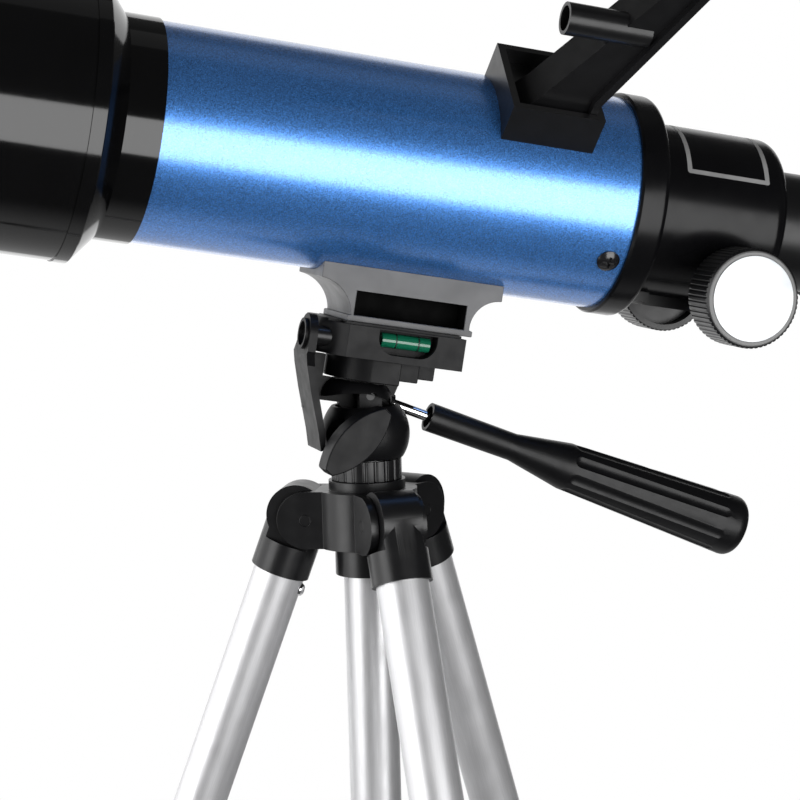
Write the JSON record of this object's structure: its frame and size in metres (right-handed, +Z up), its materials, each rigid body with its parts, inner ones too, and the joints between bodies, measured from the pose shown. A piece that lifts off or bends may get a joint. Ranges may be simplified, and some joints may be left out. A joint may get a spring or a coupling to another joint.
{
  "type": "refracting telescope on a tripod",
  "caption": "Small blue refracting telescope with finder, star diagonal and rack focuser on an aluminium tripod with a pan and tilt head.",
  "frame": {"origin": "on the ground, under the centre of the object's box", "axes": "+Z up; the telescope points along -X, raised 10.4 degrees, and the finder is on its -Y side"},
  "size_m": [0.429, 0.2667, 0.578],
  "materials": {
    "satin_black": "satin moulded plastic",
    "head_grey": "fine textured dark grey plastic",
    "gloss_black": "polished black plastic",
    "blue_paint": "metallic blue lacquer",
    "satin_aluminium": "satin anodised",
    "polished_steel": "bright plated",
    "plain_steel": "plain turned steel",
    "black_screws": "black oxide",
    "rubber": "matt rubber",
    "clear_glass": "coated optical glass",
    "green_liquid": "green spirit in a clear vial",
    "knob_plate": "pale silver disc",
    "mirror": "first-surface mirror"
  },
  "bodies": {
    "tripod": {"hub": "satin_black", "hinge_pins": "black_screws"},
    "column_lock": {"column_lock_ring": "satin_black"},
    "column": {"centre_column": "satin_aluminium", "column_cap": "satin_black", "head_spindle": "plain_steel"},
    "pan_head": {"pan_housing": "head_grey", "tilt_axle": "black_screws"},
    "pan_lock": {"pan_lock_screw": "polished_steel", "pan_lock_knob": "satin_black"},
    "tilt_head": {"tilt_body": "satin_black", "flip_axle": "plain_steel"},
    "handle": {"handle_rod": "polished_steel", "handle_grip": "gloss_black"},
    "telescope": {"platform": "head_grey", "level_vial": "green_liquid", "screw_carrier": "satin_black", "tube_foot": "head_grey", "main_tube": "blue_paint", "dew_shield": "gloss_black", "lens_cell": "gloss_black", "objective_lens": "clear_glass", "focuser_body": "satin_black", "tube_screws": "black_screws", "pinion_block": "satin_black", "finder_bracket": "satin_black", "finder_screws": "polished_steel", "finder_tube": "gloss_black", "finder_objective": "clear_glass", "finder_eyepiece": "satin_black"},
    "mount_screw": {"camera_screw": "plain_steel"},
    "focus_drive": {"focus_shaft": "plain_steel", "focus_knob_left": "satin_black", "focus_knob_right": "satin_black", "knob_plates": "knob_plate"},
    "focus_tube": {"drawtube": "satin_black", "drawtube_rack": "satin_black", "eyepiece_holder": "satin_black"},
    "holder_clamp": {"holder_screw": "polished_steel"},
    "diagonal": {"star_diagonal": "satin_black", "diagonal_mirror": "mirror"},
    "diagonal_clamp": {"diagonal_screw": "polished_steel"},
    "eyepiece": {"eyepiece_barrel": "polished_steel", "eyepiece_body": "satin_black", "eyepiece_lens": "clear_glass"},
    "leg_1": {"leg_cap_1": "satin_black", "upper_leg_1": "satin_aluminium"},
    "lock_1": {"leg_lock_1": "satin_black"},
    "lower_1": {"lower_leg_1": "satin_aluminium", "rubber_foot_1": "rubber"},
    "leg_2": {"leg_cap_2": "satin_black", "upper_leg_2": "satin_aluminium"},
    "lock_2": {"leg_lock_2": "satin_black"},
    "lower_2": {"lower_leg_2": "satin_aluminium", "rubber_foot_2": "rubber"},
    "leg_3": {"leg_cap_3": "satin_black", "upper_leg_3": "satin_aluminium"},
    "lock_3": {"leg_lock_3": "satin_black"},
    "lower_3": {"lower_leg_3": "satin_aluminium", "rubber_foot_3": "rubber"}
  },
  "joints": [
    {"name": "column_lock_turn", "type": "hinge", "parent": "tripod", "child": "column_lock", "pos_m": [-0.031, 0.033, 0.345], "axis": [0, 0, 1], "range_deg": [0, 90]},
    {"name": "column_lift", "type": "slide", "parent": "tripod", "child": "column", "axis": [0, 0, 1], "range_m": [0, 0.12]},
    {"name": "pan", "type": "hinge", "parent": "column", "child": "pan_head", "pos_m": [-0.031, 0.033, 0.345], "axis": [0, 0, 1], "continuous": true},
    {"name": "pan_lock_turn", "type": "hinge", "parent": "pan_head", "child": "pan_lock", "pos_m": [-0.0408, 0.006, 0.3748], "axis": [0, -1, 0], "range_deg": [-180, 180]},
    {"name": "tilt", "type": "hinge", "parent": "pan_head", "child": "tilt_head", "pos_m": [-0.031, 0.033, 0.388], "axis": [0, 1, 0], "range_deg": [-8, 14]},
    {"name": "handle_turn", "type": "hinge", "parent": "tilt_head", "child": "handle", "pos_m": [-0.031, 0.033, 0.388], "axis": [0.9245, 0, -0.3811], "range_deg": [0, 90]},
    {"name": "platform_flip", "type": "hinge", "parent": "tilt_head", "child": "telescope", "pos_m": [-0.02764, 0.021, 0.40629], "axis": [0.9836, 0, -0.1805], "range_deg": [0, 90]},
    {"name": "mount_screw_turn", "type": "hinge", "parent": "telescope", "child": "mount_screw", "pos_m": [-0.02067, 0.033, 0.40441], "axis": [0.1805, 0, 0.9836], "continuous": true},
    {"name": "focus_travel", "type": "slide", "parent": "telescope", "child": "focus_tube", "axis": [0.9836, 0, -0.1805], "range_m": [0, 0.045]},
    {"name": "focus_turn", "type": "hinge", "parent": "telescope", "child": "focus_drive", "pos_m": [0.09472, 0.033, 0.4182], "axis": [0, 1, 0], "range_deg": [0, 660]},
    {"name": "holder_screw_turn", "type": "hinge", "parent": "focus_tube", "child": "holder_clamp", "pos_m": [0.15655, 0.033, 0.45321], "axis": [0.1805, 0, 0.9836], "continuous": true},
    {"name": "diagonal_turn", "type": "hinge", "parent": "focus_tube", "child": "diagonal", "pos_m": [0.16573, 0.033, 0.4312], "axis": [0.9836, 0, -0.1805], "continuous": true},
    {"name": "diagonal_screw_turn", "type": "hinge", "parent": "diagonal", "child": "diagonal_clamp", "pos_m": [0.18688, 0.033, 0.45782], "axis": [0.9836, 0, -0.1805], "continuous": true},
    {"name": "eyepiece_pull", "type": "slide", "parent": "diagonal", "child": "eyepiece", "axis": [0.1805, 0, 0.9836], "range_m": [0, 0.02]},
    {"name": "leg_1_fold", "type": "hinge", "parent": "tripod", "child": "leg_1", "pos_m": [-0.02921, 0.01258, 0.345], "axis": [0.9962, 0.0872, 0], "range_deg": [0, 20.8]},
    {"name": "leg_1_lock_turn", "type": "hinge", "parent": "leg_1", "child": "lock_1", "pos_m": [-0.0289, 0.00895, 0.34638], "axis": [0.0309, -0.3538, -0.9348], "range_deg": [0, 90]},
    {"name": "leg_1_extend", "type": "slide", "parent": "leg_1", "child": "lower_1", "axis": [0.0309, -0.3538, -0.9348], "range_m": [0, 0.17]},
    {"name": "leg_2_fold", "type": "hinge", "parent": "tripod", "child": "leg_2", "pos_m": [-0.01421, 0.04476, 0.345], "axis": [-0.5736, 0.8192, 0], "range_deg": [0, 20.8]},
    {"name": "leg_2_lock_turn", "type": "hinge", "parent": "leg_2", "child": "lock_2", "pos_m": [-0.01122, 0.04685, 0.34638], "axis": [0.2909, 0.2037, -0.9348], "range_deg": [0, 90]},
    {"name": "leg_2_extend", "type": "slide", "parent": "leg_2", "child": "lower_2", "axis": [0.2909, 0.2037, -0.9348], "range_m": [0, 0.17]},
    {"name": "leg_3_fold", "type": "hinge", "parent": "tripod", "child": "leg_3", "pos_m": [-0.04958, 0.04166, 0.345], "axis": [-0.4226, -0.9063, 0], "range_deg": [0, 20.8]},
    {"name": "leg_3_lock_turn", "type": "hinge", "parent": "leg_3", "child": "lock_3", "pos_m": [-0.05288, 0.0432, 0.34638], "axis": [-0.3218, 0.1501, -0.9348], "range_deg": [0, 90]},
    {"name": "leg_3_extend", "type": "slide", "parent": "leg_3", "child": "lower_3", "axis": [-0.3218, 0.1501, -0.9348], "range_m": [0, 0.17]}
  ],
  "couplings": [
    {"joint": "focus_turn", "follows": "focus_travel", "rad_per_m": 250}
  ]
}
